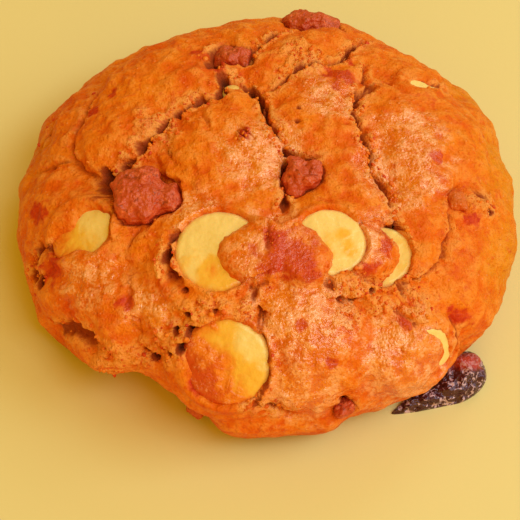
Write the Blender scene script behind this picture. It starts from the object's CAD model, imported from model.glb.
import math

import bpy
import numpy as np
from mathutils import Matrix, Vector


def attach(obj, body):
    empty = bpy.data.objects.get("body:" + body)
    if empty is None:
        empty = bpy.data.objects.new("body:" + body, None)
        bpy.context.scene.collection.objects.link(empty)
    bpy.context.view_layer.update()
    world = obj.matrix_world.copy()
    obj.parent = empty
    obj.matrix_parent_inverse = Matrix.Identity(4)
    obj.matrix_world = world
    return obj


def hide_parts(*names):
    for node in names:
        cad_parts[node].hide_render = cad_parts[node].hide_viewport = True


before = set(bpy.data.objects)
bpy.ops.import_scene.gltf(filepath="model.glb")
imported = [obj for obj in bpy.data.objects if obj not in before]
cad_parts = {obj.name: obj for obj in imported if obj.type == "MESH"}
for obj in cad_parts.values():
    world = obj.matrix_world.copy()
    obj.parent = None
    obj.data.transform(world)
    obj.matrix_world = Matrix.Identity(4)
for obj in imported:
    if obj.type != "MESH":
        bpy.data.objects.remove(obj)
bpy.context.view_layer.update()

mm = 0.001
toFrame = np.array([0.28, 0.31, 0.0])  # the shapes below are in mm about the dome's own middle


def scatter(cell, salt):
    # three random numbers from 0 to 1 for each lattice point, from an integer hash of its place
    with np.errstate(over="ignore"):
        k = cell.astype(np.int64).astype(np.uint32)
        h = k[..., 0] * np.uint32(73856093) ^ k[..., 1] * np.uint32(19349663)
        h = h ^ k[..., 2] * np.uint32(83492791) ^ np.uint32(salt * 7919)
        h = (h ^ h >> np.uint32(13)) * np.uint32(1274126177)
        h = h ^ h >> np.uint32(16)
    return np.stack([h & 1023, h >> 10 & 1023, h >> 20 & 1023], -1) / 1023


def noise(p, size, salt):
    # gradient noise: each lattice corner's random slope times the way from it, faded by a quintic
    q = np.asarray(p, float) / size
    cell = np.floor(q)
    f = q - cell
    fade = f * f * f * (f * (f * 6 - 15) + 10)
    total = 0
    for corner in range(8):
        c = np.array([corner & 1, corner >> 1 & 1, corner >> 2])
        slope = scatter(cell + c, salt) * 2 - 1
        total = total + np.prod(np.where(c, fade, 1 - fade), -1) * np.sum(slope * (f - c), -1)
    return total * 1.4  # from about -1 to 1


def layered(p, layers, total=0):
    # noises added up; layers are (height, size in mm, salt)
    for height, size, salt in layers:
        total = total + height * noise(p, size, salt)
    return total


def lumps(p, size, salt):
    # rounded crumbs: height over the nearest of one random point per cell, from 0 to 1
    q = np.asarray(p, float) / size
    cell = np.floor(q)
    best = np.full(q.shape[:-1], 9.0)
    for corner in range(27):
        c = np.array([corner % 3, corner // 3 % 3, corner // 9]) - 1
        best = np.minimum(best, np.sum((q - cell - c - scatter(cell + c, salt)) ** 2, -1))
    return np.sqrt(np.maximum(0, 1 - best))


def smoothMin(a, b, k):
    # the lower of the two, with the corner between them rounded over a difference of k
    h = np.maximum(k - np.abs(a - b), 0) / k
    return np.minimum(a, b) - h * h * k / 4


def smoothStep(low, high, v):
    # 0 up to low and 1 from high, eased at both ends
    t = np.clip((v - low) / (high - low), 0, 1)
    return t * t * (3 - 2 * t)


dome = {
    "halfX": 46.0, "halfY": 44.5, "centreZ": 10.0, "up": 19.0, "down": 17.0,
    "planPower": 2.5, "heightPower": 2.3, "edge": 0.995, "above": 1.5, "cells": 170, "triangles": 195000,
}
# how a surface is found: how many rounds, and the share of the distance left that each round goes;
# start is how far from the middle, in mm, the rays of the dome begin
tracing = {"dome": (14, 0.9), "seat": (8, 0.8), "lobe": (20, 0.75), "biscuit": (40, 0.8), "start": 40.0}
middle = np.array([0, 0, dome["centreZ"]])


def domeField(p):
    # distance scaled from the middle: plan radius and height combine as powers, as in a blunt ellipsoid
    x, y, z = p[..., 0], p[..., 1], p[..., 2] - dome["centreZ"]
    a, b = dome["planPower"], dome["heightPower"]
    up = np.abs(z / np.where(z > 0, dome["up"], dome["down"])) ** b
    k = (np.hypot(x / dome["halfX"], y / dome["halfY"]) ** a + up) ** (2 / (a + b))
    return np.sqrt(x * x + y * y + z * z) * (1 - 1 / np.maximum(k, 1e-3))


def domeNormal(p):
    # the direction in which the field grows fastest, from differences over a small step
    step = 0.05
    n = np.stack([domeField(p + step * e) - domeField(p - step * e) for e in np.eye(3)], -1)
    return n / np.linalg.norm(n, axis=-1, keepdims=True)


def onDome(p):
    # the point of the dome on the ray from the middle through p
    d = np.atleast_2d(p) - middle
    d = d / np.linalg.norm(d, axis=-1, keepdims=True)
    rounds, share = tracing["dome"]
    t = np.full(len(d), tracing["start"])
    for _ in range(rounds):
        t = t - share * domeField(middle + d * t[:, None])
    return middle + d * t[:, None]


def overDome(x, y, z=None):
    # a point given by its place in plan, just over the dome's upper side unless its height is given
    if z is not None:
        return [x, y, z]
    plan = min(math.hypot(x / dome["halfX"], y / dome["halfY"]), dome["edge"]) ** dome["planPower"]
    return [x, y, dome["centreZ"] + dome["up"] * (1 - plan) ** (1 / dome["heightPower"]) + dome["above"]]


def seat(at, heading=0.0):
    # pulls a point onto the dome: gives it with the axes along the heading, across it and outward
    rounds, share = tracing["seat"]
    p = np.array(at, float)
    for _ in range(rounds):
        p = p - share * domeField(p) * domeNormal(p)
    out = domeNormal(p)
    along = np.array([math.cos(math.radians(heading)), math.sin(math.radians(heading)), 0.0])
    along = along - along @ out * out
    along = along / np.linalg.norm(along)
    return p, np.stack([along, np.cross(out, along), out])


def bluntField(q, radii, power=2.6):
    # distance to a rounded box-like lump: the power mean of the three scaled distances, less one
    q = np.abs(q) / radii
    k = np.maximum(np.sum(q ** power, -1) ** (1 / power), 1e-4)
    g = np.sqrt(np.sum((q ** (power - 1) / radii) ** 2, -1)) * k ** (1 - power)
    return (k - 1) / np.maximum(g, 1e-4)


def sphereGrid(cells, up=0.7, down=0.4):
    # directions through an even grid on a cube's faces, its height moved to go from -down to up,
    # and the quads between them
    s = np.tan(np.linspace(-1, 1, cells + 1) * np.pi / 4)
    u, v = np.meshgrid(s, s, indexing="ij")
    one = np.ones_like(u)
    sides = [(u, v, one), (v, u, -one), (one, u, v), (-one, v, u), (v, one, u), (u, -one, v)]
    index = np.arange((cells + 1) ** 2).reshape(cells + 1, cells + 1)
    quad = np.stack([index[:-1, :-1], index[1:, :-1], index[1:, 1:], index[:-1, 1:]], -1).reshape(-1, 4)
    points = np.concatenate([np.stack([x, y, z * (up + down) / 2 + (up - down) / 2], -1).reshape(-1, 3)
                             for x, y, z in sides])
    quads = np.concatenate([quad + i * (cells + 1) ** 2 for i in range(6)])
    key = np.round(points * 1e5).astype(np.int64)
    _, first, back = np.unique(key, axis=0, return_index=True, return_inverse=True)
    points = points[first]
    return points / np.linalg.norm(points, axis=1, keepdims=True), back.reshape(-1)[quads].tolist()


def setField(piece, key, values):
    # one number per point, which the materials read by its name
    layer = piece.data.attributes.get(key) or piece.data.attributes.new(key, "FLOAT", "POINT")
    layer.data.foreach_set("value", np.asarray(values, np.float32))


def addPiece(name, points, faces, look, *, node=None, fields=None):
    # points in mm about the dome's middle become one mesh at the origin of the frame
    mesh = bpy.data.meshes.new(name)
    mesh.from_pydata(((np.asarray(points) + toFrame) * mm).tolist(), [], list(faces))
    mesh.polygons.foreach_set("use_smooth", np.ones(len(mesh.polygons), bool))
    mesh.materials.append(look)
    piece = bpy.data.objects.new(name, mesh)
    bpy.context.scene.collection.objects.link(piece)
    for key, values in (fields or {}).items():
        setField(piece, key, values)
    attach(piece, "root")
    if node:
        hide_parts(node)
    return piece


def thin(piece, most):
    # collapses the flattest edges until the piece has at most this many triangles
    count = 2 * len(piece.data.polygons)
    if count <= most:
        return
    fewer = piece.modifiers.new("fewer", "DECIMATE")
    fewer.ratio = most / count
    view = bpy.context.evaluated_depsgraph_get()
    mesh = bpy.data.meshes.new_from_object(piece.evaluated_get(view))
    piece.modifiers.remove(fewer)
    piece.data = mesh
    mesh.polygons.foreach_set("use_smooth", np.ones(len(mesh.polygons), bool))


class Wire:
    # a value inside a material, so that sums and products can be written as expressions
    def __init__(self, look, socket):
        self.look, self.socket = look, socket

    def math(self, operation, *others):
        # a Math node on this value and the others
        return self.look.node("ShaderNodeMath", {"operation": operation}, [self, *others])

    def __add__(self, other):
        return self.math("ADD", other)

    def __sub__(self, other):
        return self.math("SUBTRACT", other)

    def __rsub__(self, other):
        return self.look.node("ShaderNodeMath", {"operation": "SUBTRACT"}, [other, self])

    def __mul__(self, other):
        return self.math("MULTIPLY", other)

    def most(self, other):
        return self.math("MAXIMUM", other)

    __radd__, __rmul__ = __add__, __mul__

    def between(self, low, high):
        # 0 up to low and 1 from high, eased at both ends
        return self.look.node("ShaderNodeMapRange", {"interpolation_type": "SMOOTHSTEP"},
                              {"Value": self, "From Min": low, "From Max": high})


class Look:
    # a procedural material on Object coordinates in millimetres
    def __init__(self, name):
        self.material = bpy.data.materials.new(name)
        self.material.use_nodes = True
        self.tree = self.material.node_tree
        self.shader = self.tree.nodes["Principled BSDF"]
        place = self.node("ShaderNodeTexCoord", output="Object")
        self.place = self.node("ShaderNodeVectorMath", {"operation": "SCALE"},
                               {"Vector": place, "Scale": 1 / mm})

    def node(self, kind, settings=None, inputs=(), output=0):
        # adds a node: its settings first, then the values or links of its sockets; gives one output
        made = self.tree.nodes.new(kind)
        for key, value in (settings or {}).items():
            setattr(made, key, value)
        for key, value in (inputs.items() if isinstance(inputs, dict) else enumerate(inputs)):
            self.feed(made.inputs[key], value)
        return Wire(self, made.outputs[output])

    def feed(self, socket, value):
        # links a wire to the socket, or sets its value
        if isinstance(value, Wire):
            self.tree.links.new(value.socket, socket)
        elif isinstance(value, tuple) and len(value) < len(socket.default_value):
            socket.default_value = (*value, 1)  # a colour without its alpha
        else:
            socket.default_value = value

    def blend(self, mask, low, high):
        # colour that goes from low to high with the mask; sockets 6 and 7 of a colour Mix are A and B
        return self.node("ShaderNodeMix", {"data_type": "RGBA", "clamp_factor": True},
                         {0: mask, 6: low, 7: high}, output=2)

    def field(self, name):
        # the numbers that setField put on the piece's points
        return self.node("ShaderNodeAttribute", {"attribute_name": name}, output="Fac")

    def cloud(self, size, detail=2.0, rough=0.5, twist=0.0):
        # noise of about this many mm, centred on a half
        return self.node("ShaderNodeTexNoise", {"normalize": True},
                         {"Vector": self.place, "Scale": 1 / size, "Detail": detail,
                          "Roughness": rough, "Distortion": twist})

    def cells(self, size, feature="F1"):
        # distance to the nearest of points about this many mm apart
        return self.node("ShaderNodeTexVoronoi", {"feature": feature},
                         {"Vector": self.place, "Scale": 1 / size}, output="Distance")

    def bump(self, height, depth):
        # depth is the real height in mm of a full step of the height value
        return self.node("ShaderNodeBump", {}, {"Height": height, "Distance": depth * mm, "Strength": 1.0})

    def finish(self, colour, roughness, normal, shader=None, **fixed):
        # feeds what varies and sets the constants, whose names are the sockets' with _ for a space
        inputs = (shader or self.shader).inputs
        self.feed(inputs["Base Color"], colour)
        self.feed(inputs["Roughness"], roughness)
        self.feed(inputs["Normal"], normal)
        for key, value in fixed.items():
            self.feed(inputs[key.replace("_", " ")], value)
        return self.material

    def mixWithGlossy(self, mask, colour, roughness, normal, **fixed):
        # a second shader of the same colour takes over where the mask is one
        glossy = self.node("ShaderNodeBsdfPrincipled")
        self.finish(colour, roughness, normal, glossy.socket.node, **fixed)
        both = self.node("ShaderNodeMixShader", {}, [mask, Wire(self, self.shader.outputs[0]), glossy])
        self.tree.links.new(both.socket, self.tree.nodes["Material Output"].inputs["Surface"])


crust = {
    "golden": (0.84, 0.205, 0.008), "deep": (0.74, 0.108, 0.003), "red": (0.64, 0.048, 0.005),
    "lip": (0.88, 0.33, 0.075), "crack": (0.34, 0.045, 0.008), "hole": (0.085, 0.011, 0.004),
    "browned": (0.40, 0.120, 0.022), "crimson": (0.54, 0.028, 0.010), "sugar": (0.97, 0.40, 0.26),
    "amber": (0.70, 0.235, 0.003),
}
# the crust's patterns: mm, detail, roughness and twist of the noise, or mm between the cells
crustGrain = {
    "broad": (9, 2, 0.55, 0.4), "cloudy": (4.0, 2, 0.6, 0.8), "blotch": (2.4, 3, 0.62, 0.6),
    "fleck": (1.6, 1, 0.5, 1.0), "grain": (0.75, 2, 0.6), "speck": (0.5, 1, 0.6),
    "seed": 1.5, "pebble": 1.5, "pore": 1.3,
}


def crustLook():
    # colours laid over each other by masks, and a glossy shader over the oily zones
    look = Look("bakedCrust")
    deep, lip, red, hollow = (look.field(key) for key in ("crack", "lip", "red", "hollow"))
    crumbly, under, high = (look.field(key) for key in ("crumbly", "under", "high"))
    gloss, amber = look.field("gloss"), look.field("amber")
    broad, blotch, grain = (look.cloud(*crustGrain[key]) for key in ("broad", "blotch", "grain"))
    # golden on the heights and deeper in the hollows, amber on the flanks
    tone = (broad * 0.8 + blotch * 0.7 + high * 0.35 - 0.42).between(0.25, 0.75)
    colour = look.blend(tone, crust["deep"], crust["golden"])
    colour = look.blend(amber * 0.8, colour, crust["amber"])
    pale = (high - 0.55 + (blotch - 0.5) * 0.8).between(0.05, 0.4) * (0.22 + crumbly * 0.45 + lip * 0.5)
    colour = look.blend(pale, colour, crust["lip"])
    # red flecks, broad red clouds, pale sugar with its grains, and fine red specks
    fleck = look.cloud(*crustGrain["fleck"]).between(0.60, 0.70) * (0.35 + crumbly * 0.30)
    colour = look.blend(fleck, colour, crust["red"])
    cloudy = look.cloud(*crustGrain["cloudy"]).between(0.56, 0.70) * 0.42
    colour = look.blend(cloudy, colour, crust["red"])
    speck = look.cloud(*crustGrain["speck"])
    sugar = (speck * 0.5 + blotch * 0.85 + high * 0.15).between(0.70, 0.90)
    sugar = sugar * (0.05 + gloss * 0.66 + crumbly * 0.10)
    grains = (1 - look.cells(crustGrain["seed"]).between(0.09, 0.15)) * (0.30 + gloss * 0.4)
    colour = look.blend(sugar.most(grains), colour, crust["sugar"])
    colour = look.blend((1 - speck).between(0.56, 0.68) * 0.30, colour, crust["red"])
    lows = hollow * 0.35 + (0.45 - high).between(0.0, 0.4) * crumbly * 0.5
    colour = look.blend(lows, colour, crust["red"])
    # the stained spots, the browned foot, and the clefts and holes
    stain = red * (0.25 + blotch * 0.7 + speck * 0.45)
    colour = look.blend(stain.between(0.20, 0.85) * 0.9, colour, crust["red"])
    colour = look.blend((stain * grain).between(0.24, 0.5) * 0.8, colour, crust["crimson"])
    foot = under * 0.75 + (under - 0.5).between(0, 0.5) * (grain - 0.3)
    colour = look.blend(foot, colour, crust["browned"])
    colour = look.blend((deep + (grain - 0.5) * 0.3).between(0.10, 0.55), colour, crust["crack"])
    colour = look.blend(deep.between(0.55, 0.95), colour, crust["hole"])
    pore = look.cells(crustGrain["pore"]).between(0.08, 0.24)
    pebble = 1 - look.cells(crustGrain["pebble"], "SMOOTH_F1")
    height = pebble * 0.35 + grain * 0.35 + blotch * 0.20 + pore * 0.08 + speck * (0.16 + crumbly * 0.25)
    roughness = 0.50 + (grain - 0.5) * 0.2 + crumbly * 0.10 + deep * 0.2 + under * 0.3
    relief = look.bump(height, 1.0)
    shiny = (gloss * 0.8 + blotch * 0.8 - 0.48).between(0.0, 0.5)
    shiny = shiny * (1 - deep.between(0.05, 0.4)) * (1 - crumbly * 0.5) * (1 - red * 0.5)
    look.mixWithGlossy(shiny, colour, 0.22 + grain * 0.12, relief, IOR=1.5, Specular_IOR_Level=1.0)
    return look.finish(colour, roughness, relief, IOR=1.45, Specular_IOR_Level=0.16)


cream = {"pale": (0.90, 0.60, 0.24), "butter": (0.89, 0.44, 0.06),
         "toasted": (0.84, 0.19, 0.012), "burnt": (0.62, 0.075, 0.010)}
creamGrain = {
    "broad": (4.0, 2, 0.55, 0.8), "patches": (2.2, 3, 0.6, 0.5), "waves": (1.6, 2, 0.5),
    "fine": (0.8, 2, 0.5), "grain": (0.75, 2, 0.6), "speck": (0.5, 1, 0.6),
}


def creamLook():
    # from pale over butter and toasted to burnt as the toast grows, made uneven by noise
    look = Look("whiteChocolate")
    toast = look.field("toast")
    broad, fine = look.cloud(*creamGrain["broad"]), look.cloud(*creamGrain["fine"])
    level = toast + (broad - 0.5) * 0.7 + (fine - 0.5) * 0.12
    colour = look.blend(level.between(0.12, 0.42), cream["pale"], cream["butter"])
    colour = look.blend(level.between(0.45, 0.8), colour, cream["toasted"])
    colour = look.blend(level.between(0.9, 1.15), colour, cream["burnt"])
    # where it is browned it takes on the crust's sugar, red and grain
    browned = level.between(0.62, 0.95)
    speck, grain, patches = (look.cloud(*creamGrain[key]) for key in ("speck", "grain", "patches"))
    sugar = (speck * 0.6 + patches * 0.7).between(0.68, 0.82) * browned * 0.35
    colour = look.blend(sugar, colour, crust["sugar"])
    colour = look.blend((1 - patches).between(0.48, 0.62) * browned * 0.55, colour, crust["red"])
    waves = look.cloud(*creamGrain["waves"])
    height = broad * 0.4 + fine * 0.25 + waves * 0.35 + browned * (grain * 1.0 + patches * 1.4)
    return look.finish(colour, 0.26 + fine * 0.12, look.bump(height, 0.30), IOR=1.46,
                       Subsurface_Weight=0.15, Subsurface_Radius=(1.0, 0.6, 0.25), Subsurface_Scale=0.0012)


spice = {"mid": (0.57, 0.055, 0.014), "light": (0.78, 0.130, 0.042), "dark": (0.26, 0.020, 0.007),
         "pale": (0.74, 0.15, 0.012)}
spiceGrain = {"blotch": (2.2, 3, 0.6, 0.5), "patches": (1.4, 2, 0.6, 0.5), "fine": (0.45, 2, 0.6),
              "cells": 0.75}


def spiceLook():
    # light where the noise is high, the middle tone between the grains and dark where both noises are low
    look = Look("spicedBiscuit")
    grain = look.cells(spiceGrain["cells"])
    blotch, fine, patches = (look.cloud(*spiceGrain[key]) for key in ("blotch", "fine", "patches"))
    colour = look.blend(blotch.between(0.46, 0.66), spice["mid"], spice["light"])
    colour = look.blend(grain.between(0.25, 0.55) * 0.6, colour, spice["mid"])
    colour = look.blend((patches * -0.6 - fine * 0.5 + 1).between(0.47, 0.62) * 0.75, colour, spice["dark"])
    colour = look.blend(look.field("pale"), colour, spice["pale"])
    height = (1 - grain) * 0.6 + fine * 0.5 + blotch * 0.4
    return look.finish(colour, 0.34 + fine * 0.25, look.bump(height, 0.42), IOR=1.5, Specular_IOR_Level=0.6)


melted = {"dark": (0.060, 0.009, 0.014), "red": (0.46, 0.042, 0.016), "shine": (0.74, 0.46, 0.66)}
meltedGrain = {"blotch": (1.8, 3, 0.6, 0.6), "glints": (0.9, 1, 0.5, 1.2), "fine": (0.6, 2, 0.6),
               "cells": 1.5}


def meltLook():
    # dark and wet low down, red where it is dry, with small pale glints
    look = Look("darkMelt")
    dry = look.field("dry")
    blotch, fine = look.cloud(*meltedGrain["blotch"]), look.cloud(*meltedGrain["fine"])
    colour = look.blend((dry + (blotch - 0.5) * 0.6).between(0.25, 0.75), melted["dark"], melted["red"])
    glints = look.cloud(*meltedGrain["glints"]) * 0.7 + blotch * 0.4
    colour = look.blend(glints.between(0.58, 0.66) * (0.8 - dry * 0.5), colour, melted["shine"])
    height = blotch * 0.6 + fine * 0.4 + (1 - look.cells(meltedGrain["cells"])) * 0.5
    return look.finish(colour, 0.12 + dry * 0.4 + fine * 0.1, look.bump(height, 0.8),
                       IOR=1.5, Specular_IOR_Level=0.8, Specular_Tint=(0.80, 0.62, 1.0))


crumbGrain = (0.4, 2, 0.6)


def crumbLook():
    # from deep to golden by each crumb's own tone, with the lowest tones red
    look = Look("looseCrumb")
    tone = look.field("tone")
    grain = look.cloud(*crumbGrain)
    colour = look.blend((tone + (grain - 0.5) * 0.8).between(0.2, 0.9), crust["deep"], crust["golden"])
    colour = look.blend((0.12 - tone).between(0, 0.05), colour, crust["red"])
    return look.finish(colour, 0.42 + grain * 0.2, look.bump(grain, 0.15), IOR=1.45)


crustMaterial, creamMaterial, spiceMaterial = crustLook(), creamLook(), spiceLook()
meltMaterial, crumbMaterial = meltLook(), crumbLook()
print("materials made")


# at, radius, thickness, height of the face over the dome, heading that dips and its dip in degrees.
# open and cover are ellipses in the face's plane (u, v, half length, half width, heading): the face shows
# where open is and cover isn't, with an edge as ragged as is given. flap is how far the dough stands over
# the face where it covers it, spread how far past the rim it does so, and bare how far short of the rim
# it stops. swell is how far the dough around stands over the face, and slope how gently it falls away.
# toast is how browned the face is, browner the heading in which it grows and by how much, and spots are
# rounds of more toast (u, v, radius, more).
buttons = {
    "button_left_of_middle": {
        "at": (-8.6, -21.3, 28), "radius": 8.0, "thick": 4.0, "top": 2.2, "open": [(0, 0, 7.7, 7.8, 0)],
        "cover": [(7.3, -1.2, 7.6, 5.6, -12), (8.0, 3.0, 4.2, 2.8, 0)], "flap": 1.9,
        "toast": 0.12, "browner": (-80, 0.22),
        "spots": [(-1.2, -3.6, 2.4, 0.42), (2.6, -7.0, 1.6, 0.3)]},
    "button_right_of_middle": {
        "at": (10.6, -19.5, 28), "radius": 6.7, "thick": 3.4, "top": 2.1, "open": [(0, 0, 6.3, 6.4, 0)],
        "cover": [(-7.0, -3.3, 7.2, 6.6, 0)], "flap": 1.7, "toast": 0.10, "browner": (200, 0.10),
        "spots": [(2.2, 1.2, 1.8, 0.42), (3.4, -1.8, 1.4, 0.35), (-0.4, -2.6, 1.6, 0.3)]},
    "button_under_flap": {
        "at": (20.1, -20.5, 26.5), "radius": 5.9, "thick": 3.2, "top": -0.3, "dips": (180, 18),
        "swell": 1.6, "open": [(0, 0, 5.7, 5.8, 0)], "cover": [(5.0, -0.1, 8.4, 6.5, 0)], "flap": 1.5,
        "toast": 0.06, "browner": (180, 0.15)},
    "button_front": {
        "at": (-7.3, -38.9, 21), "radius": 8.0, "thick": 4.4, "top": 1.6,
        "open": [(0.3, -0.1, 7.3, 7.5, 0)],
        "cover": [(-9.0, -2.6, 3.2, 5.0, 0)], "spread": 0.2, "flap": 0.5, "swell": 0.0, "slope": 1.8,
        "toast": 0.72, "browner": (203, 0.66),
        "spots": [(-4.0, -4.2, 2.2, 0.5), (-1.5, 3.4, 2.4, -0.15), (3.5, 4.0, 2.5, -0.25)]},
    "button_front_right": {
        "at": (26.5, -34.4, 15.8), "radius": 6.1, "thick": 3.4, "top": 1.9,
        "open": [(-0.3, 0.4, 5.2, 5.2, 0)],
        "cover": [(-5.2, 0.2, 8.4, 6.4, 0), (3.5, -5.4, 3.6, 3.3, 0)], "spread": 0.4, "bare": 1.3,
        "slope": 1.0, "flap": 1.0, "toast": 0.05, "browner": (200, 0.2)},
    "button_left": {
        "at": (-32.7, -14.7, 24), "radius": 6.6, "thick": 4.0, "top": 1.8,
        "open": [(2.3, 0.1, 3.3, 3.9, 0), (-3.0, -1.6, 4.6, 2.2, 14)],
        "cover": [], "flap": 1.4, "toast": 0.36, "browner": (200, 0.52), "ragged": 0.5},
    "button_back_right": {
        "at": (28, 18.2, 25), "radius": 4.2, "thick": 3.4, "top": 1.7, "open": [(0.3, -0.3, 1.6, 0.6, 8)],
        "cover": [], "ragged": 0.4, "flap": 0.9, "toast": 0.0, "browner": (0, 0.0)},
    "button_in_crack": {
        "at": (-6.6, 14.6, 29), "radius": 2.2, "thick": 2.4, "top": 0.6, "open": [(0, 0.9, 1.3, 1.0, 0)],
        "cover": [], "flap": 0.4, "toast": 0.15, "browner": (0, 0.0)},
}
crown = 0.3  # how much a button's face bulges over its rim
# how the dough fits around a button, in mm; heights are over the middle of the face
fit = {
    "spread": 3.2, "swell": 0.1, "slope": 2.6, "ledge": 0.8,  # where the button doesn't say
    "openBlend": 1.2, "coverBlend": 0.5, "flapSide": (1.0, -1.5), "rim": (-0.6, 1.4), "sink": 0.25,
    "bank": 0.8, "drop": (0.3, 0.8), "raise": 0.8, "face": -0.2, "under": 2.5, "lowest": -1.6,
    "climb": 1.8, "pastRim": 0.6, "fade": (6.5, 5.0), "reach": 6,
}


def buttonSeat(b):
    # the button's middle and its axes: seated on the dome, moved along the outward axis, then leaned
    heading, dip = b.get("dips", (0.0, 0.0))
    p, axes = seat(b["at"], heading)
    c, s = math.cos(math.radians(dip)), math.sin(math.radians(dip))
    lean = np.array([[c, 0, -s], [0, 1, 0], [s, 0, c]])
    return p + axes[2] * (b["top"] - b["thick"] / 2 - crown), lean @ axes


def ellipseField(u, v, ellipse):
    # about the distance to an ellipse in the plane: the scaled radius less one, times its half width
    x, y, a, b, heading = ellipse
    c, s = math.cos(math.radians(heading)), math.sin(math.radians(heading))
    along, across = (u - x) * c + (v - y) * s, (v - y) * c - (u - x) * s
    return (np.hypot(along / a, across / b) - 1) * min(a, b)


def mound(base, b):
    # height over the dome to which the dough swells around a button, falling away as a parabola
    origin, axes = buttonSeat(b)
    q = (base - origin) @ axes.T
    far = np.maximum(np.hypot(q[:, 0], q[:, 1]) - b["radius"] - fit["ledge"], 0)
    return b["top"] + b.get("swell", fit["swell"]) - (far / b.get("slope", fit["slope"])) ** 2


def fitToButton(p, b, ragged):
    # the dough at p moves along the button's axis: up over the face where it covers it,
    # level with its rim around it, and down out of the way where the face shows
    origin, axes = buttonSeat(b)
    q = (p - origin) @ axes.T
    u, v, w = q[:, 0], q[:, 1], q[:, 2] - b["thick"] / 2 - crown
    r = np.hypot(u, v)
    shows = ellipseField(u, v, b["open"][0])  # under zero where the face shows
    for ellipse in b["open"][1:]:
        shows = smoothMin(shows, ellipseField(u, v, ellipse), fit["openBlend"])
    side = np.zeros(len(u))  # one on the side that the flap comes from
    for ellipse in b["cover"]:
        covered = ellipseField(u, v, ellipse)
        shows = -smoothMin(-shows, covered, fit["coverBlend"])
        side = np.maximum(side, smoothStep(*fit["flapSide"], covered))
    shows = shows + ragged * b.get("ragged", 1.0)
    past = r - b["radius"] + b.get("bare", 0.0) - b.get("spread", fit["spread"]) * side
    rise = b["flap"] - (b["flap"] + fit["sink"]) * smoothStep(*fit["rim"], past)
    away, fall = fit["drop"]
    low = rise * (1 - np.exp(-np.maximum(shows, 0) / fit["bank"])) - fit["sink"]
    low = low - (np.maximum(past - away, 0) / fall) ** 2
    raised = -smoothMin(-w, -low, fit["raise"])
    below = np.maximum(fit["face"] + fit["under"] * shows, fit["lowest"])
    high = np.where(shows < 0, below, fit["face"] + fit["climb"] * shows)
    near = smoothStep(b["radius"] + fit["fade"][0], b["radius"] + fit["fade"][1], r)
    opened = np.where(r < b["radius"] + fit["pastRim"], np.minimum(raised, high), raised)
    return ((opened - w) * near * (np.abs(w) < fit["reach"]))[:, None] * axes[2]


# the rolled rim's radius over half the thickness, its share of the way from pole to pole, and the
# uneven skin and outline
buttonForm = {
    "around": 180, "across": 90, "rim": 0.75, "rimShare": 0.4,
    "sag": [(0.30, 5, 21), (0.12, 2, 22), (0.05, 0.9, 24)], "wobble": [(0.015, 6, 23)],
}


def addButton(name, b):
    # turned profile: v runs from the pole of the underside over the rolled rim to the pole of the face
    origin, axes = buttonSeat(b)
    around, across, share = buttonForm["around"], buttonForm["across"], buttonForm["rimShare"]
    half = b["thick"] / 2
    rim = half * buttonForm["rim"]
    v = np.linspace(-1, 1, across)[1:-1]
    turn = np.clip(v / share, -1, 1) * np.pi / 2
    flat = np.clip((1 - np.abs(v)) / (1 - share), 0, 1)
    radius = (b["radius"] - rim) * flat + rim * np.cos(turn)
    height = half * np.sin(turn) + crown * (1 - flat ** 2) * (v > 0)
    u = np.arange(around) * 2 * np.pi / around
    x, y = np.cos(u)[None] * radius[:, None], np.sin(u)[None] * radius[:, None]
    local = np.stack([x, y, np.broadcast_to(height[:, None], x.shape)], -1).reshape(-1, 3)
    local = np.concatenate([local, [[0, 0, -half], [0, 0, half + crown]]])
    grown = local + np.array(b["at"])
    sag = layered(grown, buttonForm["sag"])
    wobble = layered(grown, buttonForm["wobble"], 1)
    local = local * np.stack([wobble, wobble, np.ones_like(wobble)], -1)
    local[:, 2] += sag * (local[:, 2] > 0)
    heading, extra = b["browner"]
    c, s = math.cos(math.radians(heading)), math.sin(math.radians(heading))
    toast = b["toast"] + extra * ((local[:, 0] * c + local[:, 1] * s) / b["radius"])
    for x, y, r, more in b.get("spots", ()):
        toast = toast + more * np.exp(-((local[:, 0] - x) ** 2 + (local[:, 1] - y) ** 2) / r ** 2)
    grid = np.arange((across - 2) * around).reshape(across - 2, around)
    ahead = np.roll(grid, -1, 1)
    quads = np.stack([grid[:-1], ahead[:-1], ahead[1:], grid[1:]], -1).reshape(-1, 4).tolist()
    quads += np.stack([np.full(around, grid.size), ahead[0], grid[0]], -1).tolist()
    quads += np.stack([grid[-1], ahead[-1], np.full(around, grid.size + 1)], -1).tolist()
    addPiece(name + "_piece", origin + local @ axes, quads, creamMaterial,
             node=name, fields={"toast": toast})


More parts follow.
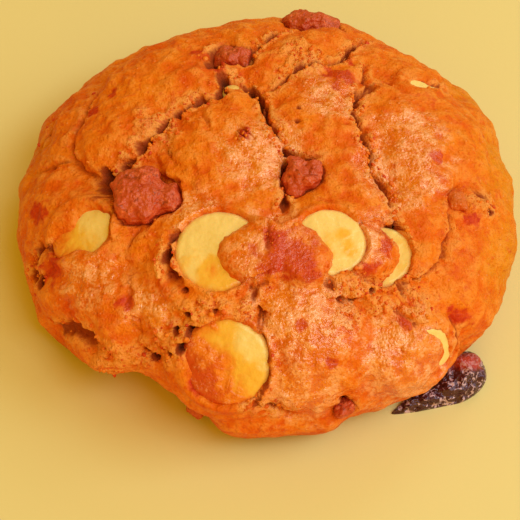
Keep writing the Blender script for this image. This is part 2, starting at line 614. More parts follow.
# at, radii, lift of the centre over the dome, side lump (u, v, r), how pale it is, and the depth of the
# gap around it where it isn't the usual one
biscuits = {
    "biscuit_left": {
        "at": (-23.0, -9.3, 28), "radii": (4.5, 5.5, 4.1), "lift": 0.2, "lump": (4.6, -0.5, 2.9)},
    "biscuit_middle": {
        "at": (6.1, -5.6, 30), "radii": (3.2, 3.2, 3.1), "lift": -0.45, "lump": (-1.5, -2.2, 2.1)},
    "biscuit_back": {
        "at": (-6.3, 23.4, 28), "radii": (3.2, 2.7, 3.0), "lift": -0.8, "lump": (-1.6, 1.2, 2.4)},
    "biscuit_rim": {
        "at": (9.2, 37.0, 21.5), "radii": (4.8, 3.1, 3.0), "lift": -0.4, "lump": (-3.2, 0.3, 2.3)},
    "biscuit_right": {
        "at": (33.6, -8.4, 25), "radii": (1.8, 2.2, 2.0), "lift": 0.0, "lump": (0.3, 1.2, 1.4),
        "pale": 0.6, "gap": 0.3},
    "biscuit_front": {
        "at": (12.9, -43.3, 11.5), "radii": (1.5, 1.4, 1.9), "lift": 0.3, "lump": (0.7, 0.6, 1.1), "gap": 0.5},
    "biscuit_foot": {
        "at": (-13.7, -38.8, 3.0), "radii": (1.6, 1.2, 1.2), "lift": -1.2, "lump": (0.7, 0.2, 0.9)},
}


# how blunt the two lumps are and how they run together, how the rays are laid, and the skin's noises as
# (height, size, salt)
biscuitForm = {
    "power": 3.4, "lumpPower": 2.8, "lumpHeight": 0.9, "blend": 1.6, "seedStep": 3.1, "start": 4,
    "large": 3, "manyCells": 44, "fewCells": 24, "uneven": [(-0.9, 3.0, 6), (-0.45, 1.5, 7)],
    "grain": [(0.22, 1.1, 31), (0.12, 0.55, 32)], "crumb": (0.25, 0.9, 33), "bare": 0.25, "sink": 0.06,
}


def biscuitField(q, b):
    # two blunt lumps run together, with an uneven skin; q is about the piece's own centre
    u, v, r = b["lump"]
    main = bluntField(q, np.array(b["radii"]), biscuitForm["power"])
    lumpRadii = np.array([r, r, r * biscuitForm["lumpHeight"]])
    side = bluntField(q - np.array([u, v, 0.0]), lumpRadii, biscuitForm["lumpPower"])
    seed = np.array([b["at"][0] * biscuitForm["seedStep"], 0, 0])
    return layered(q + seed, biscuitForm["uneven"], smoothMin(main, side, biscuitForm["blend"]))


def biscuitSeat(b):
    # the piece's centre and axes: seated on the dome, then lifted along the outward axis
    p, axes = seat(b["at"])
    return p + axes[2] * b["lift"], axes


def addBiscuit(name, b):
    # rays from the centre are followed inwards to the field's zero, then grain and crumbs are added
    origin, axes = biscuitSeat(b)
    rounds, share = tracing["biscuit"]
    cells = "manyCells" if b["radii"][0] > biscuitForm["large"] else "fewCells"
    d, quads = sphereGrid(biscuitForm[cells], 1, 1)
    t = np.full(len(d), math.hypot(*b["lump"][:2]) + b["lump"][2] + biscuitForm["start"])
    for _ in range(rounds):
        t = t - share * biscuitField(d * t[:, None], b)
    local = d * t[:, None]
    height, size, salt = biscuitForm["crumb"]
    crumb = height * np.maximum(noise(local, size, salt) - biscuitForm["bare"], 0)
    skin = layered(local, biscuitForm["grain"]) + crumb - biscuitForm["sink"]
    local = local + d * skin[:, None]
    addPiece(name + "_piece", origin + local @ axes, quads, spiceMaterial,
             node=name, fields={"pale": np.full(len(local), b.get("pale", 0.0))})


# the dark melted piece at the foot: points (x, y), half width and height along it
melt = {
    "path": [(36.2, -25.2, 3.2, 5.4), (36.4, -29.0, 4.0, 4.9), (34.4, -32.0, 3.4, 3.9),
             (31.0, -34.0, 2.3, 2.9), (26.6, -35.8, 1.5, 2.2), (22.4, -37.6, 0.9, 1.4)],
    "cells": 60, "step": 0.01, "blunt": 1.25, "uneven": [(0.75, 2.3, 41), (0.45, 1.1, 42)],
    "fromFloor": (0.0, 0.8), "out": 0.7, "dryHeight": (2.0, 4.4), "dryBack": (-33.0, -28.5),
}


def catmullRom(points, s):
    # uniform spline through the points, s from 0 to 1, with mirrored ends
    p = np.array(points, float)
    p = np.concatenate([[2 * p[0] - p[1]], p, [2 * p[-1] - p[-2]]])
    x = np.clip(s, 0, 1) * (len(p) - 3)
    i = np.minimum(x.astype(int), len(p) - 4)
    t = (x - i)[:, None]
    a, b, c, d = p[i], p[i + 1], p[i + 2], p[i + 3]
    upToSquare = 2 * b + (c - a) * t + (2 * a - 5 * b + 4 * c - d) * t ** 2
    return 0.5 * (upToSquare + (3 * b - a - 3 * c + d) * t ** 3)


def addMelt():
    # a ball drawn out along the path: x of the ball runs along it, y and z scale to the width and height
    d, quads = sphereGrid(melt["cells"], 1, 1)
    s = 0.5 + 0.5 * d[:, 0]
    at, ahead = catmullRom(melt["path"], s), catmullRom(melt["path"], s + melt["step"])
    behind = catmullRom(melt["path"], s - melt["step"])
    tangent = ahead[:, :2] - behind[:, :2]
    tangent /= np.linalg.norm(tangent, axis=1, keepdims=True)
    ring = np.sqrt(np.maximum(1 - d[:, 0] ** 2, 0))
    full = np.minimum(1, ring * melt["blunt"])
    side = d[:, 1] / np.maximum(ring, 1e-6) * at[:, 2] * full
    up = np.maximum(d[:, 2] / np.maximum(ring, 1e-6) * at[:, 3] * full, 0)
    points = np.stack([at[:, 0] - tangent[:, 1] * side, at[:, 1] + tangent[:, 0] * side, up], -1)
    swell = layered(points, melt["uneven"]) * np.minimum(full, smoothStep(*melt["fromFloor"], up))
    way = np.sign(side)
    outward = np.stack([-tangent[:, 1] * way, tangent[:, 0] * way, np.ones(len(side))], -1)
    points = points + outward * swell[:, None] * melt["out"]
    points[:, 2] = np.maximum(points[:, 2], 0)
    dry = smoothStep(*melt["dryHeight"], points[:, 2]) * smoothStep(*melt["dryBack"], points[:, 1])
    addPiece("melted_piece_shape", points, quads, meltMaterial, node="melted_piece",
             fields={"dry": dry})


# plates of crust: at, heading of the long axis, half length, half width, rise over the dome
plates = [
    ((-22.5, 13, 28), 43, 21, 13, 2.6), ((-5, 31, 26), 8, 13, 8, 1.7), ((-40, -3, 20), 95, 12, 9, 1.8),
    ((-38, 14, 20), 62, 13, 7, 1.3), ((-5.5, 2.5, 30), 40, 15, 11.5, 2.5),
    ((-8, -8, 30), 0, 12.5, 7, 1.9), ((9, 7.5, 30), 100, 12, 10.2, 2.3), ((12.5, -3, 30), 90, 8, 6, 1.7),
    ((6, 24.5, 28), 8, 14, 9.2, 2.4), ((25, 26, 24), -35, 14, 9, 1.9), ((38, 20, 17), -60, 10, 8, 1.5),
    ((29.5, 4.5, 26), -72, 19, 11, 2.7), ((27.5, -15, 25.5), -80, 10, 7, 2.6),
    ((38.5, -18, 18), -105, 15, 9, 2.0), ((42, -3, 18), 90, 11, 7, 1.5),
    ((16.5, -10, 29), -75, 11, 5.5, 1.8), ((-23.5, -17.5, 27), 60, 7, 5, 1.9),
    ((12, -43, 9), 5, 12, 7, 1.2), ((40, 2, 6), 90, 20, 9, 1.3), ((-41, 8, 7), 90, 20, 9, 1.2),
    ((0, 43, 12), 0, 22, 12, 1.4), ((27, 36, 9), -40, 16, 10, 1.2), ((-27, 34, 10), 40, 16, 10, 1.3),
]

# lobes of dough: at, heading, half length, half width, half thickness, rise over the dome
lobes = [
    ((7, -33.5, 24), -82, 13.5, 12.5, 8, 2.0), ((23.0, -33.2, 16.5), -42, 7.8, 8.6, 8, 2.4),
    ((1.5, -42, 7), 0, 12, 6, 6, 1.9), ((-30.5, -25.5, 19), -42, 12.5, 10.5, 8, 2.5),
    ((-20.5, -26.5, 25), -72, 12, 7, 6, 1.7), ((-36, -27, 5), -48, 9, 4, 4, 1.2),
    ((-44, -14, 12), -80, 6, 4, 4, 0.9), ((-4.0, -21.8, 28), 84, 6.2, 5.2, 5, 3.3),
    ((4.6, -21.6, 28), 12, 6.2, 5.6, 5, 2.9),
]

# broad bulges and dents: at, radius, height
bulges = [
    ((43, -20, 10), 13, -0.4), ((33.0, -35.0, 8.5), 5.0, -4.6), ((41, -24, 8), 5, 1.2),
    ((-45, -5, 10), 13, -0.1), ((-12, 43, 12), 14, -2.2), ((-20, -39, 6), 10, -5.0),
    ((42, 12, 8), 12, -0.4), ((20, -41, 5), 6, -0.5), ((28, 32, 14), 11, -1.8), ((46, -4, 10), 9, -0.7),
    ((39, 22, 12), 8, 0.6), ((-30, 34, 12), 12, -0.8), ((-42, -22, 7), 6, 1.6), ((3, -45, 4), 9, -0.8),
    ((-32, -33, 5), 8, -4.6), ((13, -44, 5), 5, -1.0),
]

# cracks: half width, depth, shoulder width, shoulder depth, points in plan or on the side
cracks = [
    (0.38, 1.8, 3.0, 1.3, [(-29.4, -6), (-27, -2.6), (-24, -0.2), (-22.8, 1.4), (-19.7, 5), (-16.9, 9),
        (-13.3, 11.7), (-10.1, 12.5)]),
    (0.6, 2.4, 2.5, 0.8, [(-8.5, 12.9), (-8.9, 15.3), (-7.8, 17.7)]),
    (0.36, 1.7, 3.0, 1.4, [(-5.2, 16.5), (-3, 14.3), (-1.1, 12.4), (-0.6, 8.6), (0.3, 5), (2.1, 2),
        (3.3, -0.8), (6.5, -2.3), (9.2, -1.7)]),
    (0.36, 1.6, 2.2, 0.9, [(3.3, -2.6), (2.9, -5.6), (3.1, -9), (2.9, -11.9), (2.7, -14.3)]),
    (0.9, 2.8, 2.0, 0.6, [(-10.7, 20.8), (-10.2, 23.8), (-8.3, 25.5)]),
    (0.35, 1.3, 3.0, 1.1, [(0.3, 14.2), (2.8, 16.4), (4.1, 18.7), (6.5, 19.9), (9.8, 21.3), (14.1, 22.5),
        (16, 26.7), (18.8, 31), (20.4, 34)]),
    (0.45, 1.6, 2.5, 1.1, [(-3.8, 21.5), (-1.1, 26.8), (1.4, 30.3), (4.3, 33.3)]),
    (0.5, 1.8, 2.5, 1.2, [(18.5, 15.6), (16.6, 12.6), (15.7, 8.9), (16.7, 6.6), (17.9, 5.2)]),
    (0.36, 1.9, 2.6, 1.2, [(17.9, 5.2), (17.4, 2.4), (19.2, 0.3), (19.2, -3.1), (19.5, -5.2),
        (21.2, -7.8), (21.8, -11.2), (22.6, -13.7), (23, -16.9), (24.1, -19.5)]),
    (0.35, 0.9, 2.5, 0.8, [(18.9, 23.4), (18.4, 20.7), (19.4, 16.8), (18.8, 13.4)]),
    (0.4, 0.9, 3.0, 1.2, [(19.4, 18), (22.8, 18.1), (26.1, 17.8), (30.6, 18.3), (35.8, 20.2)]),
    (0.35, 0.7, 3.5, 1.5, [(35.7, -5.1), (32.6, -8.5), (31.7, -11.4), (32.1, -14.6), (31.4, -18.1),
        (30.6, -20.9), (28.1, -23.6), (24.8, -25.9), (22.7, -26.7)]),
    (0.5, 1.2, 1.5, 0.4, [(37.4, -4.9), (37.9, -5.9), (39, -7.1)]),
    (0.5, 0.5, 3.2, 1.3, [(-32.6, 21.4), (-33.7, 14.3), (-34.8, 8.7), (-36, 4.1), (-36.2, 1.4),
        (-34.7, -1.5), (-32.1, -3.6), (-29.4, -5.5)]),
    (0.4, 0.5, 3.0, 0.9, [(-35.9, 1.7), (-39.1, 1.3), (-42.6, 1.6)]),
    (0.4, 0.8, 2.2, 0.7, [(-37.6, 16.8), (-39.8, 14.1), (-41.6, 11.5), (-42.9, 8.1, 18.5)]),
    (0.35, 0.9, 1.6, 0.5, [(-28.6, -7.6), (-28.9, -9), (-29.4, -10.3)]),
    (0.35, 0.5, 2.0, 0.7, [(-28.5, -10.3), (-27.6, -13.7), (-27.1, -16.4), (-27.6, -18.6)]),
    (0.3, 0.35, 2.0, 0.8, [(-22.5, -15.3), (-23.7, -17.8), (-24.9, -20.2), (-25.1, -22.6)]),
    (0.3, 0.25, 3.0, 1.0, [(-25.1, -22.6), (-24.2, -25.7), (-23.8, -29), (-23, -32.9), (-21.3, -36.8)]),
    (0.5, 1.0, 2.0, 0.8, [(-39.9, -15.3), (-37.1, -16.2), (-34.8, -16.4)]),
    (0.4, 1.0, 2.2, 1.0, [(-4.2, -28.3), (-1.8, -27.3), (1.1, -27)]),
    (0.3, 0.9, 2.0, 0.7, [(-1.8, -27.6), (-2.5, -30), (-1.2, -32.5), (-1.3, -35.1)]),
    (0.28, 0.9, 2.4, 0.9, [(-1.3, -35.1), (-0.5, -37.8), (-0.1, -40.5), (-1.2, -43.1, 18),
        (-2.4, -44.1, 16.2), (0.2, -44.5, 15.5), (4.4, -45.2, 11.8)]),
    (0.4, 1.2, 2.0, 0.8, [(13.1, -43, 14.3), (14.3, -43.2, 11)]),
    (0.45, 1.0, 3.0, 0.9, [(9.8, -26), (11, -28.3), (12.5, -30.1), (14.2, -30.4)]),
    (0.35, 0.7, 2.4, 0.8, [(22.7, -24.7), (23.4, -27), (25.5, -28.3)]),
    (0.35, 0.5, 2.2, 0.3, [(20.8, -29.9), (23, -31.1), (25.1, -31.3)]),
    (1.2, 1.0, 3.2, 1.3, [(-38.3, -25.7, 10.4), (-34.1, -28.9, 16.3), (-31.2, -31.1, 17.2),
        (-29.6, -33, 16.7)]),
    (0.9, 2.4, 2.0, 0.9, [(-40.7, -14.1), (-41.3, -16.1, 17.4), (-42, -17.5, 15), (-41.7, -19.3, 13.2)]),
    (0.4, 0.8, 2.0, 0.6, [(32.1, -28.8, 18.7), (32.8, -30.5, 15.9), (32, -32.5, 13.4)]),
    (0.35, 0.8, 2.0, 1.0, [(0.3, -16.2), (-0.1, -18.4), (-0.1, -21.4)]),
    (0.65, 2.0, 1.2, 0.3, [(-15.6, -17.6), (-16.6, -19.8), (-16.9, -22.0), (-16.2, -24.2),
        (-15.0, -26.1)]),
    (0.3, 0.8, 1.5, 0.4, [(-5.6, 4.1), (-4.2, 2.4), (-2.4, 1.2)]),
    (0.3, 0.4, 1.6, 0.4, [(-18.6, 0.8), (-17.4, -1.9), (-16.4, -3.6)]),
    (0.3, 0.4, 1.5, 0.4, [(-12.1, 7.2), (-10.8, 5.4), (-10.4, 3.3)]),
]

# spots of redder crust, then zones of broken crumb, of glossy crust and of amber crust: at, radius;
# last the pits: at, radius, depth
redSpots = [
    ((2.6, -21.8), 4.4), ((0.8, -19.0), 2.4), ((6.4, -24.0), 2.0), ((20.4, -19.0), 2.2),
    ((17.2, -24.0), 1.7), ((-40.5, -8.2), 2.4), ((12.8, 17.2), 2.8), ((33.3, -28.1), 2.0),
    ((-11.6, -41.0), 1.5), ((-28.1, 14.7), 1.3), ((-32.1, 11.5), 1.4), ((-12.8, 23.3), 1.4),
    ((-36.8, -19.5), 3.0), ((39.0, 8.6), 1.2), ((29.1, -0.7), 1.4), ((-4.0, 2.9), 1.1),
    ((-5.7, -37.2), 0.8), ((10.4, -38.4), 1.2), ((5.3, -33.4), 1.1), ((23.4, -31.7), 1.1),
    ((-24.2, -28.5), 1.4), ((15.9, 22.2), 1.4), ((36.0, -11.5), 1.5), ((-9.6, 19.6), 1.8),
]
crumblyZones = [
    ((-13.4, -33.8), 3.4), ((-17.7, -36.3), 3.0), ((-10.8, -31.4), 2.6), ((-8.3, -30.1), 2.4),
    ((-4.0, -31.5), 2.0), ((13.1, -27.3), 4.0), ((19.1, -29.2), 4.4), ((25.6, -28.9), 3.4),
    ((13.9, -31.4), 3.0), ((-2.4, -44.9, 16.6), 2.4), ((1.9, -45.5, 15.3), 2.8), ((38.1, -7.5), 2.6),
    ((6.0, 21.8), 3.6), ((-7.1, 17.5), 2.4), ((-4.2, 2.3), 1.3), ((-19.6, 4.6), 3.6),
    ((-27.0, -36.3, 16.0), 4.0), ((-22.3, -36.5), 2.8), ((-40.4, -18.9), 2.6), ((-15.6, -20.0), 1.8),
    ((0.2, -18.7), 1.4), ((11.5, -26.6), 2.4), ((26.0, -24.5), 1.8),
]
glossZones = [
    ((5.9, -33.0), 8.0), ((5.9, -40.0, 17), 6.0), ((21.6, -35.5, 17), 7.5), ((23.6, -3.4), 6.5),
    ((25.0, 4.6), 4.5), ((0.4, -21.2), 5.5), ((-0.6, -2.5), 6.0), ((11.5, 12.6), 4.5),
    ((17.9, -18.3), 4.0), ((-31.0, -23.2), 4.5), ((-13.0, -14.0), 3.5), ((-20.5, -30.0), 3.5),
]
amberZones = [
    ((43.0, 4.0, 14), 12.0), ((37.0, 22.0, 14), 8.0), ((41.0, -14.0, 14), 8.0), ((-41.0, 6.0, 12), 9.0),
]
pits = [
    ((-30.2, -3.2), 0.9, 1.8), ((-30.4, -4.6), 1.25, 2.2), ((-30.0, -6.0), 1.2, 2.0),
    ((-29.2, -7.4), 0.7, 1.4), ((-12.6, -34.3), 0.9, 2.4), ((-14.6, -36.6), 0.7, 1.8),
    ((-20.3, -37.9), 0.8, 1.8), ((-9.8, 23.6), 1.1, 2.6), ((-10.1, 20.9), 1.2, 2.4),
    ((-8.5, 16.8), 1.0, 2.6), ((-8.7, 13.2), 0.9, 2.4), ((-3.7, 14.9), 1.0, 2.6),
    ((-2.6, 13.8), 0.9, 2.4), ((5.4, 8.3), 0.35, 0.9), ((5.0, 5.1), 0.35, 0.8),
    ((-14.0, -27.6), 0.5, 1.2), ((24.0, -27.9), 0.4, 0.7), ((24.5, -31.5), 0.4, 0.7),
    ((-40.8, -17.8), 1.0, 2.4), ((-40.0, -20.9, 18.2), 0.9, 2.0), ((13.4, -43.9, 14.7), 0.7, 1.2),
    ((38.1, -6.9), 0.6, 1.3), ((38.8, -8.7), 0.6, 1.4), ((-15.8, -34.3), 0.6, 1.6),
    ((-13.4, -31.7), 0.6, 1.3), ((-16.8, -37.1), 0.5, 1.3), ((-22.1, -36.5), 0.6, 1.3),
    ((14.8, -29.6), 0.5, 1.2), ((17.2, -27.4), 0.5, 1.2), ((-8.8, -31.2), 0.4, 1.1),
]


plateForm = {"power": 3.2, "halfHeight": 14, "heightPower": 4, "blend": 0.7}


def plateHeight(p):
    # height of the crust over the dome: the highest of the plates, each a flattened, blunt ellipse
    top = np.zeros(len(p))
    power, halfHeight, heightPower = plateForm["power"], plateForm["halfHeight"], plateForm["heightPower"]
    for at, heading, a, b, rise in plates:
        origin, axes = seat(at, heading)
        q = (p - origin) @ axes.T
        inside = 1 - np.abs(q[:, 0] / a) ** power - np.abs(q[:, 1] / b) ** power
        inside = inside - (q[:, 2] / halfHeight) ** heightPower
        top = -smoothMin(-top, -rise * np.sqrt(np.maximum(inside, 0)), plateForm["blend"])
    return top


def lineDistance(p, line):
    # distance to the nearest of the line's straight parts, and the way along it to its nearer end
    best, along, length = np.full(len(p), 1e9), np.zeros(len(p)), 0.0
    for a, b in zip(line[:-1], line[1:]):
        ab = b - a
        t = np.clip((p - a) @ ab / (ab @ ab), 0, 1)
        d = np.linalg.norm(p - a - t[:, None] * ab, axis=-1)
        along = np.where(d < best, length + t * np.linalg.norm(ab), along)
        best = np.minimum(best, d)
        length += np.linalg.norm(ab)
    return best, np.minimum(along, length - along)


# the cracks' wavering course and ragged width, how they end, and how dark they and how broken their
# edges are for their depth
crackForm = {
    "wander": [(0.8, 2.6, 9), (0.3, 1.1, 10)], "ragged": [(0.7, 2.6, 11), (0.3, 1.0, 12)],
    "reach": 10, "ends": (-1.5, 2.0), "narrowest": 0.13, "darkWidth": 1.25, "leastDark": 0.15,
    "darkDepth": 2.6, "lipAway": 0.7, "lipWidth": 0.75, "lipDepth": 1.6,
}


def crackFields(base):
    # shoulders: broad bell-shaped dip beside each crack; deep: the narrow, steep-walled cleft;
    # lip: its broken edge; dark: how dark it is inside
    shoulders, deep, lip, dark = (np.zeros(len(base)) for _ in range(4))
    wander, ragged = layered(base, crackForm["wander"]), layered(base, crackForm["ragged"], 1)
    for width, depth, shoulder, shoulderDepth, points in cracks:
        line = onDome(np.array([overDome(*p) for p in points]))
        size = np.linalg.norm(line - line.mean(0), axis=1).max() + crackForm["reach"]
        near = np.linalg.norm(base - line.mean(0), axis=1) < size
        d, fromEnd = lineDistance(base[near], line)
        ends = smoothStep(*crackForm["ends"], fromEnd + wander[near])
        aside = np.abs(d + wander[near])
        w = np.maximum(width * ragged[near], crackForm["narrowest"])
        cleft = np.exp(-(aside / w) ** 4) * ends
        shade = np.exp(-(aside / w / crackForm["darkWidth"]) ** 4) * ends
        shade = shade * min(1.0, crackForm["leastDark"] + depth / crackForm["darkDepth"])
        edge = np.exp(-((aside - w - crackForm["lipAway"]) / crackForm["lipWidth"]) ** 2) * ends
        edge = edge * min(1, depth / crackForm["lipDepth"])
        shoulders[near] = np.maximum(shoulders[near], shoulderDepth * np.exp(-(d / shoulder) ** 2))
        deep[near] = np.maximum(deep[near], depth * cleft)
        dark[near] = np.maximum(dark[near], shade)
        lip[near] = np.maximum(lip[near], edge)
    return shoulders, deep, lip, dark


# how uneven and how soft the edges of the spots and zones are, and the share, size and salt of the noises
spotEdges = {"crumbly": (0.6, 0.5), "red": (0.8, 0.6), "gloss": (0.5, 0.8), "amber": (0.4, 0.7)}
spotNoise = [(1, 2.0, 51), (0.6, 1.0, 52)]


def spotField(base, spots, kind):
    # one inside the spots and nothing outside, by the distance over the radius, made uneven
    wobble, soft = spotEdges[kind]
    uneven = layered(base, [(wobble * share, size, salt) for share, size, salt in spotNoise])
    total = np.zeros(len(base))
    for place, r in spots:
        at = onDome(np.array([overDome(*place)]))[0]
        d = np.linalg.norm(base - at, axis=1) / r + uneven
        total = np.maximum(total, 1 - smoothStep(1 - soft, 1 + soft, d))
    return total


pitForm = {"uneven": [(0.35, 1.0, 65), (0.3, 2.0, 66)], "darkWidth": 1.25, "darkDepth": 1.6}


def pitFields(base):
    # hole: the steep-walled depth of each pit; dark: how dark it is inside
    hole, dark = np.zeros(len(base)), np.zeros(len(base))
    uneven = layered(base, pitForm["uneven"])
    for place, r, depth in pits:
        at = onDome(np.array([overDome(*place)]))[0]
        d = np.maximum((np.linalg.norm(base - at, axis=1) + uneven) / r, 0)
        hole = np.maximum(hole, depth * np.exp(-d ** 4))
        shade = np.exp(-(d / pitForm["darkWidth"]) ** 4) * min(1, depth / pitForm["darkDepth"])
        dark = np.maximum(dark, shade)
    return hole, dark


gapForm = {"depth": 0.8, "width": 0.5, "vary": 0.3, "reach": 6, "size": 1.8, "salt": 67}


def besideBiscuits(skin):
    # a narrow, broken gap around each biscuit piece, a bell curve of the distance to it
    gap = np.zeros(len(skin))
    uneven = noise(skin, gapForm["size"], gapForm["salt"])
    for b in biscuits.values():
        origin, axes = biscuitSeat(b)
        near = np.linalg.norm(skin - origin, axis=1) < max(b["radii"]) + gapForm["reach"]
        if near.any():
            g = np.maximum(biscuitField((skin[near] - origin) @ axes.T, b), 0)
            g = g / (gapForm["width"] + gapForm["vary"] * uneven[near])
            gap[near] = np.maximum(gap[near], b.get("gap", gapForm["depth"]) * np.exp(-g ** 2))
    return gap


# the crust's fine relief: noises as (height, size, salt), puffs and broken lumps as (height, size, salt,
# how far they are sunk), and how far the noises turn the puffs aside
gritForm = {
    "fine": [(0.26, 2.9, 60), (0.20, 1.7, 61), (0.10, 0.95, 62)], "puff": (0.34, 2.5, 68, 0.7),
    "aside": 0.6, "broken": [(1.25, 1.9, 63, 0.62), (0.8, 1.05, 64, 0.6)], "brokenNoise": [(0.5, 1.2, 69)],
    "besideCracks": 0.7, "brokenHigh": 0.8, "high": (-0.35, 0.35),
}


def surfaceFields(base):
    # what both the shape and the colour of the crust read at each point of the dome
    shoulders, deep, lip, dark = crackFields(base)
    hole, holeDark = pitFields(base)
    crumbly = np.maximum(spotField(base, crumblyZones, "crumbly"), gritForm["besideCracks"] * lip)
    return {"shoulders": shoulders, "deep": np.maximum(deep, hole), "crack": np.maximum(dark, holeDark),
            "lip": lip, "crumbly": crumbly}


def grit(base, crumbly):
    # the fine relief: noises with puffs where the crust is whole and with lumps where it is broken;
    # also how high up in it each point is, from 0 to 1
    fine = layered(base, gritForm["fine"])
    height, size, salt, sunk = gritForm["puff"]
    puff = height * (lumps(base + gritForm["aside"] * fine[:, None], size, salt) - sunk)
    broken = 0
    for height, size, salt, sunk in gritForm["broken"]:
        broken = broken + height * (lumps(base, size, salt) - sunk)
    broken = layered(base, gritForm["brokenNoise"], broken)
    high = smoothStep(*gritForm["high"], fine + puff + gritForm["brokenHigh"] * broken * crumbly)
    return fine + puff * (1 - crumbly) + broken * crumbly, high


# unevenness as (height, size, salt); the rest in mm, but the salts, and steepest, lip and gap, which
# are factors
doughForm = {
    "bend": 1.3, "bendSize": 9, "bendSalts": (1, 2, 3), "uneven": [(0.7, 7, 4), (0.35, 3.5, 5)],
    "faceEdge": [(0.5, 3.6, 72), (0.34, 1.9, 70), (0.26, 0.9, 71)], "steepest": 0.45,
    "moundBlend": 1.2, "lobeBlend": 1.4, "lobeNear": 3, "lobeStart": 6, "foot": (3.0, 8.0), "lip": 0.12,
    "gap": 1.9,
}


def doughSurface(directions):
    # where the dough's surface crosses each direction from the middle: the dome with its relief and
    # lobes, then fitted to the buttons, and last cut by the clefts
    base = onDome(middle + directions)
    slope = np.maximum(np.sum(domeNormal(base) * directions, 1), doughForm["steepest"])
    bends = [noise(base, doughForm["bendSize"], salt) for salt in doughForm["bendSalts"]]
    bend = doughForm["bend"] * np.stack(bends, -1)
    relief = layered(base, doughForm["uneven"], plateHeight(base + bend))
    for at, radius, height in bulges:
        relief = relief + height * np.exp(-np.sum((base - np.array(at)) ** 2, 1) / radius ** 2)
    for b in buttons.values():
        relief = -smoothMin(-relief, -mound(base, b), doughForm["moundBlend"])
    t = np.linalg.norm(base - middle, axis=1) + relief / slope
    rounds, share = tracing["lobe"]
    for at, heading, a, b, thick, rise in lobes:
        # each lobe runs into the dome below it, found along the rays that pass near it
        origin, axes = seat(at, heading)
        origin, radii = origin + axes[2] * (rise - thick), np.array([a, b, thick], float)
        way = origin - middle
        aside = np.linalg.norm(way - (directions @ way)[:, None] * directions, axis=1)
        near = (aside < radii.max() + doughForm["lobeNear"]) & (directions @ way > 0)
        reach = t[near] + doughForm["lobeStart"]
        for _ in range(rounds):
            p = middle + directions[near] * reach[:, None]
            lobe = bluntField((p + bend[near] - origin) @ axes.T, radii)
            f = smoothMin(domeField(p) - relief[near], lobe, doughForm["lobeBlend"])
            reach = reach - share * f
        t[near] = np.maximum(t[near], reach)
    top = smoothStep(*doughForm["foot"], (middle + directions * t[:, None])[:, 2])
    fields = surfaceFields(base)
    rough, _ = grit(base, fields["crumbly"])
    t = t + (rough * top + doughForm["lip"] * fields["lip"] * top - fields["shoulders"]) / slope
    points = middle + directions * t[:, None]
    ragged = layered(base, doughForm["faceEdge"])
    for b in buttons.values():
        points = points + fitToButton(points, b, ragged)
    skin = points - directions * (rough / slope)[:, None]
    cut = fields["deep"] + doughForm["gap"] * besideBiscuits(skin) * top
    return points - directions * (cut / slope)[:, None]


doughColour = {"gap": 0.8, "hollow": 0.3, "under": (0.5, 9.0)}


def addDough():
    # the surface over a grid of directions, with what is below the floor pulled up along its ray;
    # gives the thinned mesh's points and what their colour reads
    d, quads = sphereGrid(dome["cells"])
    points = doughSurface(d)
    low = np.minimum(points[:, 2], 0)
    sunk = (points[:, 2] < 0) & (d[:, 2] < 0)
    points[sunk] = points[sunk] - d[sunk] * (low[sunk] / d[sunk, 2])[:, None]
    points[:, 2] = np.maximum(points[:, 2], 0)
    print("dough traced", len(points))
    piece = addPiece("dough_crust", points, quads, crustMaterial, node="dough")
    thin(piece, dome["triangles"])
    points = np.empty(len(piece.data.vertices) * 3)
    piece.data.vertices.foreach_get("co", points)
    points = points.reshape(-1, 3) / mm - toFrame
    base = onDome(points)
    fields = surfaceFields(base)
    _, high = grit(base, fields["crumbly"])
    setField(piece, "crack", np.maximum(fields["crack"], doughColour["gap"] * besideBiscuits(points)))
    setField(piece, "lip", fields["lip"])
    setField(piece, "hollow", fields["shoulders"] * doughColour["hollow"])
    setField(piece, "crumbly", fields["crumbly"])
    setField(piece, "high", high)
    for kind, spots in (("red", redSpots), ("gloss", glossZones), ("amber", amberZones)):
        setField(piece, kind, spotField(base, spots, kind))
    setField(piece, "under", 1 - smoothStep(*doughColour["under"], points[:, 2]))
    print("dough made", len(points), "points")
    return points, fields


crumbs = {
    "count": 1300, "least": 0.14, "most": 0.50, "fewLarge": 2.2, "seed": 11, "cells": 3, "sink": 0.05,
    "inZones": 0.9, "elsewhere": 0.001, "darkest": 0.5, "lowest": 6,
    "dents": 0.35, "dentScale": 1.1, "dentSize": 0.8, "dentSalt": 81, "apart": 9.0,
    "squash": (0.45, 0.75),
}


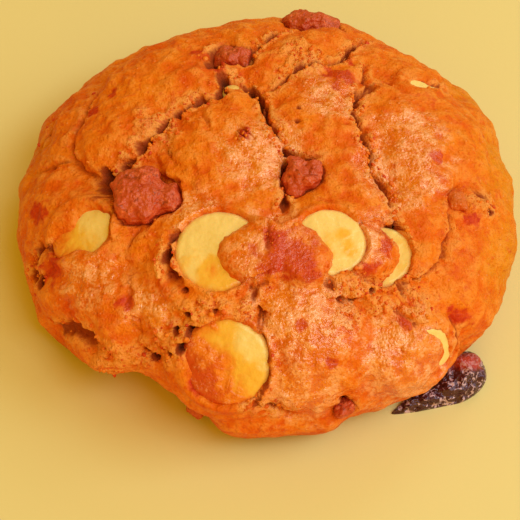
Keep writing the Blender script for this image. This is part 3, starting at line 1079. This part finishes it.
def addCrumbs(points, fields):
    # small broken bits on the crack edges and in the crumbly zones, joined into one mesh: dented balls,
    # squashed and turned at random
    draw = np.random.default_rng(crumbs["seed"])
    chance = fields["lip"] ** 2 + crumbs["inZones"] * fields["crumbly"] ** 2 + crumbs["elsewhere"]
    chance = chance * (fields["crack"] < crumbs["darkest"]) * (points[:, 2] > crumbs["lowest"])
    at = points[draw.choice(len(points), crumbs["count"], replace=False, p=chance / chance.sum())]
    size = draw.random(len(at)) ** crumbs["fewLarge"]
    size = crumbs["least"] + (crumbs["most"] - crumbs["least"]) * size
    ball, quads = sphereGrid(crumbs["cells"], 1, 1)
    place = ball[None] * crumbs["dentScale"] + crumbs["apart"] * draw.random((len(at), 1, 3))
    dented = 1 + crumbs["dents"] * noise(place, crumbs["dentSize"], crumbs["dentSalt"])
    ball = ball[None] * dented[..., None]
    turn = draw.normal(size=(len(at), 3, 3))
    turn = np.linalg.qr(turn)[0]
    turn[np.linalg.det(turn) < 0, 0] *= -1
    least, more = crumbs["squash"]
    squash = least + more * draw.random((len(at), 1, 3))
    bits = (ball * squash) @ turn * size[:, None, None]
    out = at - middle
    out = out / np.linalg.norm(out, axis=1, keepdims=True)
    bits = bits + (at - out * size[:, None] * crumbs["sink"])[:, None]
    faces = np.array(quads)[None] + np.arange(len(at))[:, None, None] * ball.shape[1]
    tone = np.repeat(draw.random(len(at)), ball.shape[1])
    addPiece("loose_crumbs", bits.reshape(-1, 3), faces.reshape(-1, 4).tolist(), crumbMaterial,
             fields={"tone": tone})


crustPoints, crustFields = addDough()
for name, sizes in buttons.items():
    addButton(name, sizes)
for name, sizes in biscuits.items():
    addBiscuit(name, sizes)
addMelt()
addCrumbs(crustPoints, crustFields)
print("pieces added")


floorLook = {
    "colour": (0.81, 0.645, 0.365), "shade": 0.985, "clouds": (60, 2, 0.5), "grain": (0.8, 2, 0.5),
    "relief": 0.02, "half": 1.5,  # mm, and metres from its middle to each side
}


def addFloor():
    # a wide, flat square with the faintest clouds and grain
    look = Look("paleFloor")
    soft = look.cloud(*floorLook["clouds"])
    shade = tuple(c * floorLook["shade"] for c in floorLook["colour"])
    tone = look.blend(soft.between(0.3, 0.7), floorLook["colour"], shade)
    relief = look.bump(look.cloud(*floorLook["grain"]), floorLook["relief"])
    material = look.finish(tone, 0.7, relief, IOR=1.3)
    mesh = bpy.data.meshes.new("floor")
    half = floorLook["half"]
    corners = [(-half, -half, 0), (half, -half, 0), (half, half, 0), (-half, half, 0)]
    mesh.from_pydata(corners, [], [(0, 1, 2, 3)])
    mesh.materials.append(material)
    floor = bpy.data.objects.new("floor", mesh)
    bpy.context.scene.collection.objects.link(floor)


camera = {"elevation": 56.0, "lens": 110.0, "sensor": 36.0, "span": 96.3, "target": (-1.5, -11.3, 11.0),
          "near": 0.01}  # degrees; mm, of which span is the width seen at the target; near in metres
room = {"colour": (1.0, 0.64, 0.03, 1), "strength": 0.63}
lights = {
    "key": {"at": (0.66, -0.05, 0.59), "size": 0.50, "power": 3.2, "colour": (0.74, 1.0, 0.92)},
    "glint": {"at": (0.35, 0.61, 0.51), "size": 0.30, "power": 0.75, "colour": (0.74, 1.0, 0.92)},
    "over": {"at": (0.34, -0.36, 0.84), "size": 0.40, "power": 2.2, "colour": (0.74, 1.0, 0.92)},
    "fill": {"at": (0.19, -0.96, 0.48), "size": 0.96, "power": 2.6, "colour": (1.0, 0.66, 0.03)},
}


def addCameraAndLights():
    # the camera looks down at the target from the front; each lamp points at the frame's origin
    scene = bpy.context.scene
    lift = math.radians(camera["elevation"])
    data = bpy.data.cameras.new("camera")
    data.lens, data.sensor_width = camera["lens"], camera["sensor"]
    data.clip_start = camera["near"]
    eye = bpy.data.objects.new("camera", data)
    back = Vector((0, -math.cos(lift), math.sin(lift)))
    target = Vector(tuple((np.array(camera["target"]) + toFrame) * mm))
    eye.location = target + back * (camera["lens"] / camera["sensor"] * camera["span"] * mm)
    eye.rotation_euler = (-back).to_track_quat("-Z", "Y").to_euler()
    scene.collection.objects.link(eye)
    scene.camera = eye
    for name, light in lights.items():
        data = bpy.data.lights.new(name, "AREA")
        data.energy, data.size, data.color = light["power"], light["size"], light["colour"]
        lamp = bpy.data.objects.new(name, data)
        lamp.location = light["at"]
        lamp.rotation_euler = (-Vector(light["at"])).to_track_quat("-Z", "Y").to_euler()
        scene.collection.objects.link(lamp)
    world = bpy.data.worlds.new("room")
    world.use_nodes = True
    background = world.node_tree.nodes["Background"].inputs
    background["Color"].default_value = room["colour"]
    background["Strength"].default_value = room["strength"]
    scene.world = world
    scene.view_settings.view_transform = "Standard"


addFloor()
addCameraAndLights()
